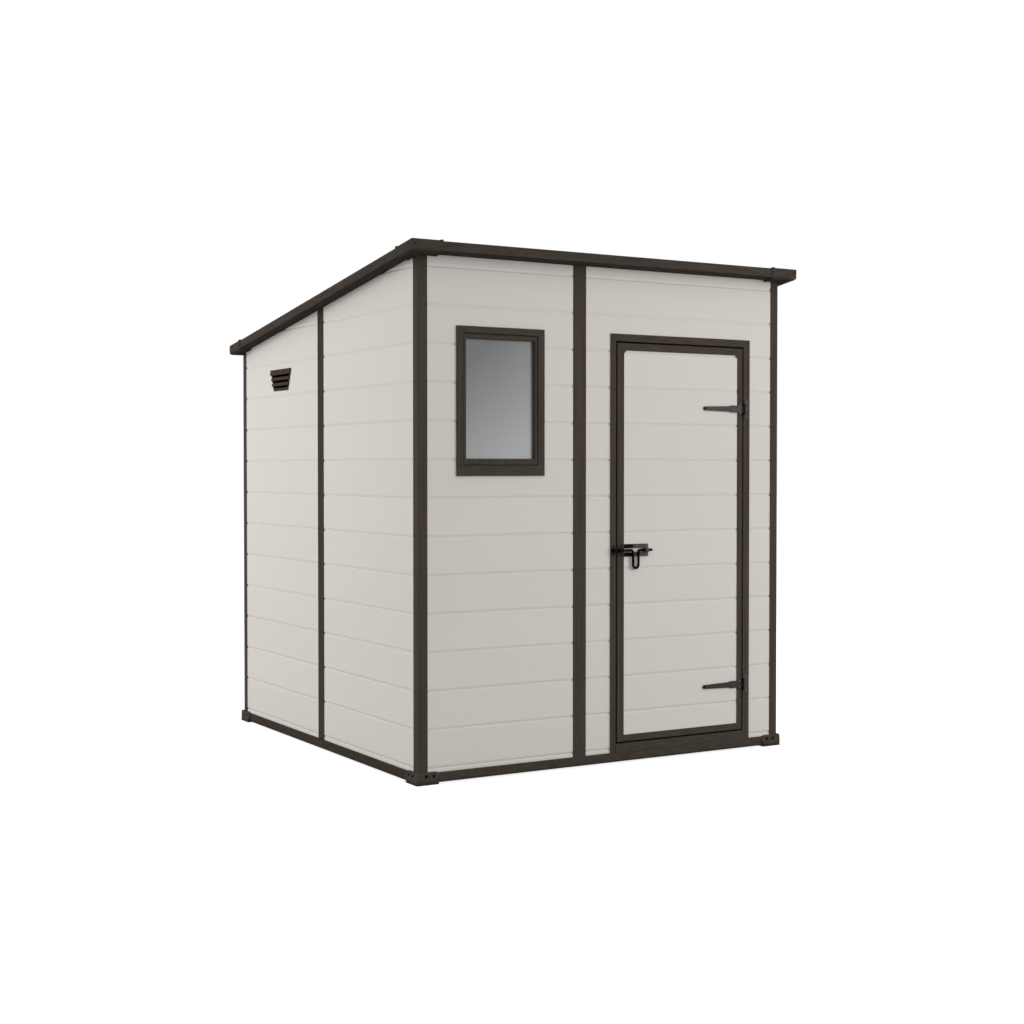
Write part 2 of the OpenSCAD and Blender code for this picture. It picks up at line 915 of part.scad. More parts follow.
// Outline of a vent, wider at its top, drawn in by an inset all round
module vent_shape(inset) {
    splay = (vent_top_w - vent_bottom_w) / 2 / vent_h;
    in = inset * sqrt(1 + splay * splay);
    z0 = inset;
    z1 = vent_h - inset;
    half0 = vent_bottom_w / 2 + splay * z0 - in;
    half1 = vent_bottom_w / 2 + splay * z1 - in;
    polygon([[-half0, z0], [half0, z0], [half1, z1], [-half1, z1]]);
}

// Heights of a hood's bottom and top edges; hood 0 is the highest
function hood_z0(i) = vent_h - (i + 1) * (vent_h - vent_foot_h) / hoods;
function hood_z1(i) = i == 0 ? vent_h : hood_z0(i - 1) - hood_slot;

// Side view of a hood from the wall's face outwards
module hood_shape(i) {
    polygon([
        [vent_face, hood_z0(i)], [panel_inset, hood_z0(i)],
        [panel_inset, hood_z1(i)], [vent_face + hood_lean, hood_z1(i)]
    ]);
}

// Side view of the air's way in: under a hood's edge, up behind it and through the wall
module hood_way(i) {
    back = panel_back + cut;
    ceiling = hood_z1(i) - hood_t;
    polygon([
        [vent_face - cut, hood_z0(i) - hood_slot], [back, hood_z0(i) - hood_slot / 2],
        [back, ceiling], [vent_face + hood_lean + hood_t, ceiling],
        [vent_face + hood_t, hood_z0(i)], [vent_face - cut, hood_z0(i)]
    ]);
}

module side_vent() {
    translate([0, vent_y, vent_z]) difference() {
        union() {
            intersection() {
                along_x(vent_face, panel_inset) vent_shape(0);
                along_y(-vent_top_w, vent_top_w) for (i = [0 : hoods - 1]) hood_shape(i);
            }
            along_x(panel_inset - vent_flange_t, panel_inset) vent_shape(0);
            along_x(panel_inset, panel_back) vent_shape(vent_lap + fit);
        }
        intersection() {
            along_x(vent_face - cut, panel_back + cut) vent_shape(vent_rim);
            along_y(-vent_top_w, vent_top_w) for (i = [0 : hoods - 1]) hood_way(i);
        }
    }
}

module side_vents() {
    color(trim_c) place() {
        side_vent();
        to_right() side_vent();
    }
}

// ---- Roof ----

module edge_across(y_out, y_face, s) {
    color(trim_c) place() along_x(edge_x0, shed_w - edge_x0) {
        roof_shape(y_out, y_out + s * edge_t, 0, edge_h);
        roof_shape(y_out, y_face + s * post_w, 0, edge_t);
        roof_shape(y_out, y_out + s * edge_lap, edge_h - edge_t, edge_h);
        roof_shape(y_face + s * (post_w - edge_t), y_face + s * post_w, 0, sheet_w0 - fit);
    }
}

module roof_edge_front() {
    edge_across(edge_y0, 0, 1);
}

module roof_edge_back() {
    edge_across(edge_y1, shed_d, -1);
}

module edge_along() {
    y0 = post_w;
    y1 = shed_d - post_w;
    roof_slab(edge_x0, edge_x0 + edge_t, y0, y1, 0, edge_h);
    roof_slab(edge_x0, post_w, y0, y1, 0, edge_t);
    roof_slab(edge_x0, edge_x0 + edge_lap, y0, y1, edge_h - edge_t, edge_h);
    roof_slab(post_w - edge_t, post_w, y0, y1, 0, sheet_w0 - fit);
}

module roof_edge_left() {
    color(trim_c) place() edge_along();
}

module roof_edge_right() {
    color(trim_c) place() to_right() edge_along();
}

// Outline of a corner cap across an edge: distance in from the cap's outer face
// and height over the soffit, bevelled along the lower outer edge. With run at 1 it
// ends at the cap's faces, and above 1 it runs on past them
function cap_outline(reach, run) = [
    [0, 0], [run * cap_bevel, -run * cap_under], [reach, -run * cap_under],
    [reach, run * (edge_h + cap_t)], [0, run * (edge_h + cap_t)]
];

// Outer form of a corner cap on the left; y_out is its outer face and s points inwards
module cap_block(y_out, s) {
    intersection() {
        along_x(-over_side, cap_leg - over_side)
            polygon([
                for (p = cap_outline(cap_leg, 1)) [y_out + s * p[0], soffit_z(y_out + s * p[0]) + p[1]]
            ]);
        translate([-over_side, y_out, soffit_z(y_out)]) rotate([-roof_slope, 0, 0])
            along_y(-2 * cap_leg, 2 * cap_leg)
                polygon([for (p = cap_outline(2 * cap_leg, 2)) [p[0], p[1] * cos(roof_slope)]]);
    }
}

// Corner cap on the left: it wraps the ends of two edge frames and stands open over
// the roof sheets and round the post
module corner_cap(y_out, y_face, s) {
    x_end = cap_leg - over_side + cut;
    y_end = y_out + s * (cap_leg + cut);
    lap = edge_lap + cap_t;
    difference() {
        cap_block(y_out, s);
        roof_slab(edge_x0, x_end, y_out + s * cap_t, y_end, 0, edge_h);
        roof_slab(lap - over_side, x_end, y_out + s * lap, y_end, edge_h / 2, edge_h + 2 * cap_t);
        roof_slab(0, x_end, y_face, y_end, -2 * cap_under, cut);
    }
}

module roof_corner_caps() {
    color(trim_c) place() {
        corner_cap(-over_front, 0, 1);
        to_right() corner_cap(-over_front, 0, 1);
        corner_cap(shed_d + over_back, shed_d, -1);
        to_right() corner_cap(shed_d + over_back, shed_d, -1);
    }
}

module roof_sheet() {
    x0 = edge_x0 + edge_t + fit;
    x1 = shed_w / 2 - strip_t / 2 - fit;
    y0 = edge_y0 + edge_t + fit;
    y1 = edge_y1 - edge_t - fit;
    roof_slab(x0, x1, y0, y1, sheet_w0, sheet_w1);
    rib_y0 = edge_y0 + edge_lap + cut;
    rib_y1 = edge_y1 - edge_lap - cut;
    for (x = [edge_x0 + edge_lap + rib_w : rib_pitch : shed_w / 2 - strip_w / 2 - rib_w])
        roof_slab(x, x + rib_w, rib_y0, rib_y1, sheet_w0, sheet_w1 + rib_h);
}

module roof_sheets() {
    color(trim_c) place() {
        roof_sheet();
        to_right() roof_sheet();
    }
}

module roof_cover_strip() {
    x = shed_w / 2;
    y0 = edge_y0 + edge_lap + fit;
    y1 = edge_y1 - edge_lap - fit;
    color(trim_c) place() {
        roof_slab(x - strip_w / 2, x + strip_w / 2, y0, y1, sheet_w1 + fit, sheet_w1 + strip_t);
        roof_slab(x - strip_t / 2, x + strip_t / 2, y0, y1, sheet_w0, sheet_w1 + strip_t);
        roof_slab(
            x - strip_t / 2, x + strip_t / 2, post_w + fit, shed_d - post_w - fit,
            sheet_w0 - strip_t, sheet_w1
        );
        roof_slab(
            x - strip_w / 2, x + strip_w / 2, post_w + fit, shed_d - post_w - fit,
            sheet_w0 - strip_t, sheet_w0 - fit
        );
    }
}

module roof_beam() {
    y = shed_d / 2;
    top = sheet_w0 - strip_t - fit;
    color(trim_c) place() roof_slab(
        post_w + fit, shed_w - post_w - fit, y - beam_w / 2, y + beam_w / 2, top - beam_h, top
    );
}

floor_panels();
base_rail_front();
base_rail_back();
base_rail_left();
base_rail_right();
base_feet();
corner_post_front_left();
corner_post_front_right();
corner_post_back_left();
corner_post_back_right();
mid_post_front();
mid_post_back();
mid_post_left();
mid_post_right();
front_wall_window();
front_wall_beside_latch();
front_wall_beside_hinge();
front_wall_over_door();
left_wall_front();
left_wall_rear();
right_wall_front();
right_wall_rear();
back_wall_left();
back_wall_right();
window_frame();
window_bead();
window_pane();
door_jambs();
door_head();
door_sill();
door_frame();
door_panel();
hinge_straps();
hinge_plates();
latch_plate();
latch_bolt();
latch_keeper();
side_vents();
roof_edge_front();
roof_edge_back();
roof_edge_left();
roof_edge_right();
roof_corner_caps();
roof_sheets();
roof_cover_strip();
roof_beam();
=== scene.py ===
"""Looks for the plastic garden shed: materials, rounded edges, fasteners, studio and camera."""
import math

import bmesh
import bpy
from mathutils import Matrix, Vector


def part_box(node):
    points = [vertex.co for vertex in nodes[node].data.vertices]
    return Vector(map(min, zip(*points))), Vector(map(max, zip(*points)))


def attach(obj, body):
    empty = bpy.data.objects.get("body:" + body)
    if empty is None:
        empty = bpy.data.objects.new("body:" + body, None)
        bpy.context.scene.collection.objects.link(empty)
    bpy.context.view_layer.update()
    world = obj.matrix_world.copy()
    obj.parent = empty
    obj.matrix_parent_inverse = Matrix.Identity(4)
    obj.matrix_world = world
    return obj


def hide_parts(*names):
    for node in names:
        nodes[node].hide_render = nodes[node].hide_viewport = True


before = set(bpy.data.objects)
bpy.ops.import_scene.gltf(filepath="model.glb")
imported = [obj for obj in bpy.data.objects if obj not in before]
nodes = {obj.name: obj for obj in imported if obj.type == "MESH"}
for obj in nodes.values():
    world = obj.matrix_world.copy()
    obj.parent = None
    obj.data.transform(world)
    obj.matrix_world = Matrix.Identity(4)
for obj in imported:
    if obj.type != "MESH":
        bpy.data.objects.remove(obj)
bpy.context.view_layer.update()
scene = bpy.context.scene

# ---- Colours, in linear light ----


def srgb(r, g, b):
    """Linear colour of an 8-bit screen colour."""

    def one(v):
        v /= 255
        return v / 12.92 if v <= 0.04045 else ((v + 0.055) / 1.055) ** 2.4

    return (one(r), one(g), one(b), 1.0)


WALL = srgb(209, 203, 197)
TRIM = srgb(68, 61, 55)
# Painted shade: a darker copy of the trim colour for the trims on the side walls.
TRIM_SIDE_SHADED = srgb(60, 52, 45)
# Painted shade: a copy of the trim colour set for how light falls on the roof's side edges.
ROOF_SIDE_SHADED = srgb(67, 60, 55)
RAIL = srgb(66, 60, 54)
# Painted shade: a darker copy of the rail colour for the side rails.
RAIL_SIDE_SHADED = srgb(56, 49, 43)
ROOF = srgb(54, 49, 45)
STRAP_LOW = srgb(57, 54, 52)
STRAP_HIGH = srgb(79, 74, 71)
CASING_PLATE = srgb(71, 66, 63)
BLACK = srgb(9, 8, 7)
# Grey of the latch's painted reflection.
LATCH_SHEEN = srgb(78, 78, 72)
LATCH_FOOT = srgb(60, 54, 50)
SCREW = srgb(16, 12, 9)
CAP_SCREW = srgb(34, 30, 27)
WORN_SCREW = srgb(96, 91, 87)
# Painted reflection: the pane's grey at its top and at its bottom.
PANE_REFLECTION_TOP = srgb(114, 115, 115)
PANE_REFLECTION_LOW = srgb(162, 162, 162)
FLOOR = srgb(96, 92, 86)

# ---- Places and sizes, in metres ----

# The same in part.scad: height of a plank and of the lowest line between planks, width of the
# door's upright beside the latch, hidden edge of the pane, thickness of the hinges and of the latch.
PLANK = 0.15375
FIRST_LINE = 0.061
LATCH_STILE = 0.034
PANE_LIP = 0.008
HINGE_T = 0.003
LATCH_T = 0.0025
CASING_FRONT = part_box("door_jambs")[0][1]
roof_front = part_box("roof_edge_front")
roof_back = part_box("roof_edge_back")
# How much the roof drops for each metre towards the back.
FALL = (roof_front[1][2] - roof_back[1][2]) / (roof_back[1][1] - roof_front[0][1])


# ---- Node graphs ----

# Most of a noise lies between these two.
NOISE_LOW, NOISE_HIGH = 0.3, 0.7


class Graph:
    """Short calls for building one material's nodes."""

    def __init__(self, name, level, ior=1.5):
        self.mat = bpy.data.materials.new(name)
        self.mat.use_nodes = True
        self.tree = self.mat.node_tree
        self.tree.nodes.clear()
        out = self.tree.nodes.new("ShaderNodeOutputMaterial")
        self.shader = self.tree.nodes.new("ShaderNodeBsdfPrincipled")
        self.tree.links.new(self.shader.outputs[0], out.inputs["Surface"])
        self.shader.inputs["Specular IOR Level"].default_value = level
        self.shader.inputs["IOR"].default_value = ior

    def node(self, kind, **settings):
        n = self.tree.nodes.new(kind)
        for key, value in settings.items():
            setattr(n, key, value)
        return n

    def link(self, source, socket):
        self.tree.links.new(source, socket)

    def feed(self, socket, value):
        if isinstance(value, bpy.types.NodeSocket):
            self.link(value, socket)
        else:
            socket.default_value = value

    def math(self, operation, a, b=0.0):
        n = self.node("ShaderNodeMath", operation=operation)
        for socket, value in zip(n.inputs, (a, b)):
            self.feed(socket, value)
        return n.outputs[0]

    def place(self):
        """The piece's own coordinates, in metres: as a vector, and one by one."""
        n = self.node("ShaderNodeTexCoord")
        split = self.node("ShaderNodeSeparateXYZ")
        self.link(n.outputs["Object"], split.inputs[0])
        return n.outputs["Object"], split.outputs

    def scaled(self, xyz, factors):
        """A vector of the three coordinates, each times its own factor."""
        n = self.node("ShaderNodeCombineXYZ")
        for socket, value, factor in zip(n.inputs, xyz, factors):
            self.feed(socket, self.math("MULTIPLY", value, factor))
        return n.outputs[0]

    def noise(self, vector, scale, detail=2.0, rough=0.5):
        n = self.node("ShaderNodeTexNoise")
        self.feed(n.inputs["Vector"], vector)
        n.inputs["Scale"].default_value = scale
        n.inputs["Detail"].default_value = detail
        n.inputs["Roughness"].default_value = rough
        return n.outputs[0]

    def span(self, value, a0, a1, b0, b1, smooth=False):
        """A value's range from a0 to a1 mapped to b0 to b1, and held at its ends."""
        n = self.node("ShaderNodeMapRange")
        if smooth:
            n.interpolation_type = "SMOOTHSTEP"
        for socket, v in zip(n.inputs, (value, a0, a1, b0, b1)):
            self.feed(socket, v)
        return n.outputs[0]

    def between(self, noise, low, high):
        """A noise stretched between two values."""
        return self.span(noise, NOISE_LOW, NOISE_HIGH, low, high)

    def spread(self, noise, amount):
        """A noise as a factor about 1, give or take the amount."""
        return self.between(noise, 1 - amount, 1 + amount)

    def tint(self, colour, *factors):
        """A colour times some numbers."""
        factor = factors[0]
        for other in factors[1:]:
            factor = self.math("MULTIPLY", factor, other)
        n = self.node("ShaderNodeMix", data_type="RGBA", blend_type="MULTIPLY")
        n.inputs["Factor"].default_value = 1.0
        self.feed(n.inputs[6], colour)
        grey = self.node("ShaderNodeCombineXYZ")
        for socket in grey.inputs:
            self.link(factor, socket)
        self.link(grey.outputs[0], n.inputs[7])
        return n.outputs[2]

    def mix(self, factor, a, b):
        n = self.node("ShaderNodeMix", data_type="RGBA")
        self.feed(n.inputs["Factor"], factor)
        self.feed(n.inputs[6], a)
        self.feed(n.inputs[7], b)
        return n.outputs[2]

    def bump(self, height, distance, strength, under=None):
        n = self.node("ShaderNodeBump")
        n.inputs["Strength"].default_value = strength
        n.inputs["Distance"].default_value = distance
        self.link(height, n.inputs["Height"])
        if under is not None:
            self.link(under, n.inputs["Normal"])
        return n.outputs[0]

    def finish(self, colour, rough, normal):
        self.feed(self.shader.inputs["Base Color"], colour)
        self.feed(self.shader.inputs["Roughness"], rough)
        self.link(normal, self.shader.inputs["Normal"])
        return self.mat


def wall_material():
    """Pale blow-moulded planks with a faint embossed wood grain."""
    g = Graph("wall_plastic_look", level=0.3, ior=1.46)
    where, (x, y, z) = g.place()
    plank = g.math("FLOOR", g.math("DIVIDE", g.math("SUBTRACT", z, FIRST_LINE), PLANK))
    # Each plank has its own stretch of grain.
    plank_shift, plank_seed = 5.37, 2.71
    along = g.math("ADD", g.math("ADD", x, y), g.math("MULTIPLY", plank, plank_shift))
    seed = g.math("MULTIPLY", plank, plank_seed)
    # The grain is fine lines with some wandering rings among them; the rate is in radians per metre.
    ring_rate, ring_wander, ring_share = 420.0, 46.0, 0.16
    drift = g.noise(g.scaled((along, z, seed), (1.6, 9.0, 1.0)), 1.0)
    phase = g.math("ADD", g.math("MULTIPLY", z, ring_rate), g.math("MULTIPLY", drift, ring_wander))
    rings = g.math("SINE", phase)
    lines = g.noise(g.scaled((along, z, seed), (3.0, 260.0, 1.0)), 1.0, 4.0, 0.6)
    grain = g.math("ADD", g.math("MULTIPLY", rings, ring_share), g.math("MULTIPLY", lines, 1 - ring_share))
    unevenness = 0.012
    tone = g.spread(g.noise(g.scaled((plank, x, y), (3.3, 0.4, 0.4)), 1.0), unevenness)
    streak = g.spread(lines, unevenness)
    fine = g.noise(where, 900.0)
    normal = g.bump(fine, 0.00012, 0.4, g.bump(grain, 0.0004, 0.5))
    # Painted shade darkens the upward side of each plank's groove, and painted light brightens the
    # downward side, to even out how the light falls on them.
    groove_up_shade, groove_down_light = 0.88, 1.18
    facing = g.node("ShaderNodeNewGeometry")
    split = g.node("ShaderNodeSeparateXYZ")
    g.link(facing.outputs["True Normal"], split.inputs[0])
    painted_groove_shade = g.span(split.outputs[2], 0.1, 0.6, 1.0, groove_up_shade)
    painted_groove_light = g.span(split.outputs[2], -0.6, -0.1, groove_down_light, 1.0)
    return g.finish(g.tint(WALL, streak, tone, painted_groove_shade, painted_groove_light), g.between(lines, 0.6, 0.7), normal)


# How fast the streaks change along each axis: slowly along a piece, quickly across it.
UPRIGHT = (110.0, 110.0, 1.5)
ALONG_X = (16.0, 120.0, 120.0)
ALONG_Y = (120.0, 16.0, 120.0)
# Height up to which the painted ground shadow is full, and at which it ends.
GROUND_SHADOW_FULL, GROUND_SHADOW_END = 0.004, 0.02


def streaks(g, xyz, way):
    """Noise drawn out along a piece."""
    return g.noise(g.scaled(xyz, way), 1.0, 4.0, 0.65)


def frame_streaks(g, xyz, inside, lap):
    """Streaks along each bar of the frame round a node, whose edge is hidden by the lap."""
    lo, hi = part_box(inside)
    bottom, top = lo[2] + lap, hi[2] - lap
    blend = 0.001
    over_sill = g.span(xyz[2], bottom, bottom + blend, 0.0, 1.0)
    under_head = g.span(xyz[2], top - blend, top, 1.0, 0.0)
    beside = g.math("MULTIPLY", over_sill, under_head)
    uprights = g.math("MULTIPLY", streaks(g, xyz, UPRIGHT), beside)
    crossbars = g.math("MULTIPLY", streaks(g, xyz, ALONG_X), g.math("SUBTRACT", 1.0, beside))
    return g.math("ADD", uprights, crossbars)


def trim_material(
    name, colour, way=UPRIGHT, mottle=0.24, rough=0.7, level=0.03, patches=0.05,
    ground_shadow=0.0, fall=0.0, inside="", lap=0.0,
):
    """Dark moulded plastic, streaked along the piece; a painted ground shadow darkens it near the ground.

    The fall is how much the piece drops for each metre towards the back. A frame's streaks
    follow its bars round the node inside it, whose edge the frame hides by the lap.
    """
    g = Graph(name, level=level)
    where, (x, y, z) = g.place()
    level_z = g.math("ADD", z, g.math("MULTIPLY", y, fall)) if fall else z
    streak = frame_streaks(g, (x, y, z), inside, lap) if inside else streaks(g, (x, y, level_z), way)
    cloud = g.noise(where, 75.0, 3.0)
    soft = g.noise(where, 3.0)
    factors = [g.spread(streak, mottle), g.spread(cloud, patches), g.spread(soft, 0.03)]
    # Painted shadow: darker towards the ground.
    if ground_shadow:
        factors.append(g.span(z, GROUND_SHADOW_FULL, GROUND_SHADOW_END, 1 - ground_shadow, 1.0, smooth=True))
    fine = g.noise(where, 800.0)
    normal = g.bump(fine, 0.0001, 0.4, g.bump(streak, 0.0004, 0.5))
    return g.finish(g.tint(colour, *factors), g.between(cloud, rough - 0.05, rough + 0.06), normal)


def iron_material(name, colour, rough, level):
    """Coated steel: fine pits and slow changes of shade. The colour may be a function that draws it."""
    g = Graph(name, level=level)
    where, xyz = g.place()
    if callable(colour):
        colour = colour(g, xyz)
    pits = g.noise(where, 600.0, 3.0)
    cloud = g.noise(where, 60.0, 3.0)
    soft = g.noise(where, 14.0)
    shade = g.tint(colour, g.spread(cloud, 0.12), g.spread(soft, 0.08))
    return g.finish(shade, g.between(cloud, rough - 0.06, rough + 0.06), g.bump(pits, 0.0001, 0.5))


# Width over which one colour of a hinge changes to the next.
COLOUR_EDGE = 0.002
# How far the black of the hinges' knuckles reaches in over the door's edge, and the width of the
# worn part of the plates on the casing.
KNUCKLE_BLACK = 0.003
PLATE_WORN = 0.0275
# The latch's colours change between two distances: from brown to black and from black to the grey of a
# painted reflection past the inner edge of the door's upright, and from black painted shade to brown
# beside the bolt's middle.
BROWN_TO_BLACK = (-0.004, 0.002)
BLACK_TO_SHEEN = (0.036, 0.06)
BOLT_SHADE_TO_BROWN = (0.008, 0.011)


def latch_colour(g, xyz):
    """Brown over the door's upright except for black painted shade along the bolt, then black, then grey
    from a painted reflection.
    """
    lo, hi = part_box("latch_plate")
    past_upright = g.math("SUBTRACT", xyz[0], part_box("door_frame")[0][0] + LATCH_STILE)
    from_bolt = g.math("ABSOLUTE", g.math("SUBTRACT", xyz[2], (lo[2] + hi[2]) / 2))
    # Painted reflection: grey towards the latch's outer end.
    worn = g.span(past_upright, *BLACK_TO_SHEEN, 0.0, 1.0, smooth=True)
    over_upright = g.span(past_upright, *BROWN_TO_BLACK, 1.0, 0.0, smooth=True)
    # Painted shade: black along the bolt over the door's upright.
    brown = g.math("MULTIPLY", over_upright, g.span(from_bolt, *BOLT_SHADE_TO_BROWN, 0.0, 1.0))
    return g.mix(brown, g.mix(worn, BLACK, LATCH_SHEEN), LATCH_FOOT)


def strap_colour(g, xyz):
    """The straps are worn grey, the upper one paler, and their knuckles keep the black coat."""
    lo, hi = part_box("hinge_straps")
    strap = g.mix(g.span(xyz[2], lo[2], hi[2], 0.0, 1.0), STRAP_LOW, STRAP_HIGH)
    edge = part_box("door_frame")[1][0] - KNUCKLE_BLACK
    return g.mix(g.span(xyz[0], edge, edge + COLOUR_EDGE, 0.0, 1.0), strap, BLACK)


def plate_colour(g, xyz):
    """The plates on the casing are worn brownish grey, and their knuckles keep the black coat."""
    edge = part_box("hinge_plates")[1][0] - PLATE_WORN
    return g.mix(g.span(xyz[0], edge - COLOUR_EDGE, edge, 1.0, 0.0), CASING_PLATE, BLACK)


def pane_material():
    """Grey mirrored acrylic, with a painted reflection that makes it paler towards its lower right."""
    g = Graph("pane_look", level=0.2, ior=1.49)
    where, (x, y, z) = g.place()
    lo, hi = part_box("window_pane")
    # Painted reflection: paler downwards and to the right.
    slant = 0.26
    down = g.span(z, lo[2], hi[2], 1.0, 0.0)
    right = g.span(x, lo[0], hi[0], -slant, slant)
    soft = g.noise(where, 3.0, 1.0)
    ripple = g.noise(g.scaled((x, y, z), (5.0, 5.0, 2.0)), 1.0, 1.0)
    colour = g.tint(g.mix(g.math("ADD", down, right), PANE_REFLECTION_TOP, PANE_REFLECTION_LOW), g.spread(soft, 0.02))
    g.shader.inputs["Metallic"].default_value = 0.75
    return g.finish(colour, 0.3, g.bump(ripple, 0.0002, 0.4))


def floor_material():
    """Dark floor plastic with rows of low studs."""
    g = Graph("floor_plastic_look", level=0.3)
    where, (x, y, z) = g.place()
    # In radians per metre.
    stud_rate = 210.0
    waves = [g.math("SINE", g.math("MULTIPLY", v, stud_rate)) for v in (x, y)]
    studs = g.span(g.math("MULTIPLY", *waves), 0.2, 0.6, 0.0, 1.0)
    soft = g.noise(where, 3.0, 3.0)
    return g.finish(g.tint(FLOOR, g.spread(soft, 0.07)), 0.62, g.bump(studs, 0.0012, 0.8))


wall_look = wall_material()
post_look = trim_material("upright_trim_look", TRIM, mottle=0.22)
shaded_side_post_look = trim_material("shaded_side_post_look", TRIM_SIDE_SHADED, mottle=0.16)
front_look = trim_material("crosswise_trim_look", TRIM, ALONG_X)
roof_front_look = trim_material("roof_front_look", TRIM, ALONG_X, rough=0.85, level=0.0, patches=0.1)
shaded_roof_side_look = trim_material(
    "shaded_roof_side_look", ROOF_SIDE_SHADED, ALONG_Y, rough=0.85, level=0.0, patches=0.1, fall=FALL
)
rail_front_look = trim_material("rail_front_look", RAIL, ALONG_X, ground_shadow=0.55, patches=0.12)
shaded_rail_side_look = trim_material("shaded_rail_side_look", RAIL_SIDE_SHADED, ALONG_Y, ground_shadow=0.55, patches=0.18)
foot_look = trim_material("foot_look", TRIM, mottle=0.1, ground_shadow=0.4, patches=0.22)
roof_look = trim_material("roof_sheet_look", ROOF, ALONG_Y, fall=FALL)
door_frame_look = trim_material("door_frame_look", TRIM, mottle=0.22, inside="door_panel")
window_frame_look = trim_material("window_frame_look", TRIM, mottle=0.22, inside="window_bead")
window_bead_look = trim_material("window_bead_look", TRIM, mottle=0.22, inside="window_pane", lap=PANE_LIP)
latch_look = iron_material("latch_look", latch_colour, 0.5, level=0.04)
bolt_look = iron_material("bolt_look", BLACK, 0.55, level=0.04)
strap_look = iron_material("hinge_strap_look", strap_colour, 0.5, level=0.05)
plate_look = iron_material("hinge_plate_look", plate_colour, 0.5, level=0.05)
screw_look = iron_material("screw_look", SCREW, 0.5, level=0.03)
cap_screw_look = iron_material("cap_screw_look", CAP_SCREW, 0.5, level=0.05)
worn_screw_look = iron_material("worn_screw_look", WORN_SCREW, 0.45, level=0.05)
pane_look = pane_material()
floor_look = floor_material()

# What a node looks like, by the start of its name; the first that fits counts.
LOOKS = (
    ("roof_edge_front", roof_front_look),
    ("roof_edge_back", roof_front_look),
    ("roof_edge", shaded_roof_side_look),
    ("roof_sheets", roof_look),
    ("roof_cover", roof_look),
    ("roof_beam", front_look),
    ("base_rail_front", rail_front_look),
    ("base_rail_back", rail_front_look),
    ("base_rail", shaded_rail_side_look),
    ("base_feet", foot_look),
    ("mid_post_left", shaded_side_post_look),
    ("mid_post_right", shaded_side_post_look),
    ("side_vents", shaded_side_post_look),
    ("door_head", front_look),
    ("door_sill", front_look),
    ("door_panel", wall_look),
    ("door_frame", door_frame_look),
    ("window_frame", window_frame_look),
    ("window_bead", window_bead_look),
    ("latch_bolt", bolt_look),
    ("latch", latch_look),
    ("hinge_straps", strap_look),
    ("hinge_plates", plate_look),
    ("window_pane", pane_look),
    ("floor_panels", floor_look),
)


def look_of(name):
    if "_wall_" in name:
        return wall_look
    for start, look in LOOKS:
        if name.startswith(start):
            return look
    return post_look


for name, obj in nodes.items():
    obj.data.materials.clear()
    obj.data.materials.append(look_of(name))

# ---- Rounded edges of the CAD nodes ----

# The start of a node's name, and how far its edges are rounded, in metres.
ROUNDED = (
    ("roof_edge", 0.0018),
    ("roof_cover_strip", 0.0015),
    ("base_feet", 0.002),
    ("base_rail", 0.0018),
    ("door_frame", 0.0018),
    ("door_head", 0.0015),
    ("door_jambs", 0.0015),
    ("door_sill", 0.0015),
    ("window_frame", 0.002),
    ("window_bead", 0.001),
    ("side_vents", 0.0008),
    ("hinge_straps", 0.0006),
    ("hinge_plates", 0.0006),
    ("latch_plate", 0.0005),
    ("latch_keeper", 0.0005),
)


def smooth_group():
    """Geometry nodes that shade every face smooth, so that the weighted normals count."""
    group = bpy.data.node_groups.new("shade_smooth", "GeometryNodeTree")
    group.interface.new_socket("Geometry", in_out="INPUT", socket_type="NodeSocketGeometry")
    group.interface.new_socket("Geometry", in_out="OUTPUT", socket_type="NodeSocketGeometry")
    start = group.nodes.new("NodeGroupInput")
    end = group.nodes.new("NodeGroupOutput")
    faces = group.nodes.new("GeometryNodeSetShadeSmooth")
    edges = group.nodes.new("GeometryNodeSetShadeSmooth")
    faces.domain = "FACE"
    edges.domain = "EDGE"
    for a, b in ((start, faces), (faces, edges), (edges, end)):
        group.links.new(a.outputs[0], b.inputs[0])
    return group


SMOOTH = smooth_group()
# Corners closer than this are one; faces that differ by less are one; sharper edges are rounded.
WELD_GAP = 1e-5
FLAT_ANGLE = math.radians(0.3)
SHARP_ANGLE = math.radians(32)


def round_edges(obj, width, segments=2):
    """Rounds the sharp edges with modifiers: the node's own mesh stays as it is."""
    weld = obj.modifiers.new("weld", "WELD")
    weld.merge_threshold = WELD_GAP
    flat = obj.modifiers.new("flat_faces", "DECIMATE")
    flat.decimate_type = "DISSOLVE"
    flat.angle_limit = FLAT_ANGLE
    bevel = obj.modifiers.new("round", "BEVEL")
    bevel.width = width
    bevel.segments = segments
    bevel.limit_method = "ANGLE"
    bevel.angle_limit = SHARP_ANGLE
    bevel.miter_outer = "MITER_ARC"
    smooth = obj.modifiers.new("smooth", "NODES")
    smooth.node_group = SMOOTH
    obj.modifiers.new("even_normals", "WEIGHTED_NORMAL").weight = 80


for name, obj in nodes.items():
    for start, width in ROUNDED:
        if name.startswith(start):
            round_edges(obj, width)
            break

# ---- New pieces ----


def piece(name, bm, look, body):
    """Makes one shown piece of a bmesh."""
    bmesh.ops.recalc_face_normals(bm, faces=bm.faces)
    mesh = bpy.data.meshes.new(name)
    bm.to_mesh(mesh)
    bm.free()
    obj = bpy.data.objects.new(name, mesh)
    scene.collection.objects.link(obj)
    mesh.materials.append(look)
    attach(obj, body)
    return obj


# Points of each outline of a screw head: six for each quarter of its cross.
POINTS = 24
# How far a screw head reaches into the face that it stands on, and its turn from the one before.
SCREW_SINK = 0.0004
SCREW_TURN = 0.7


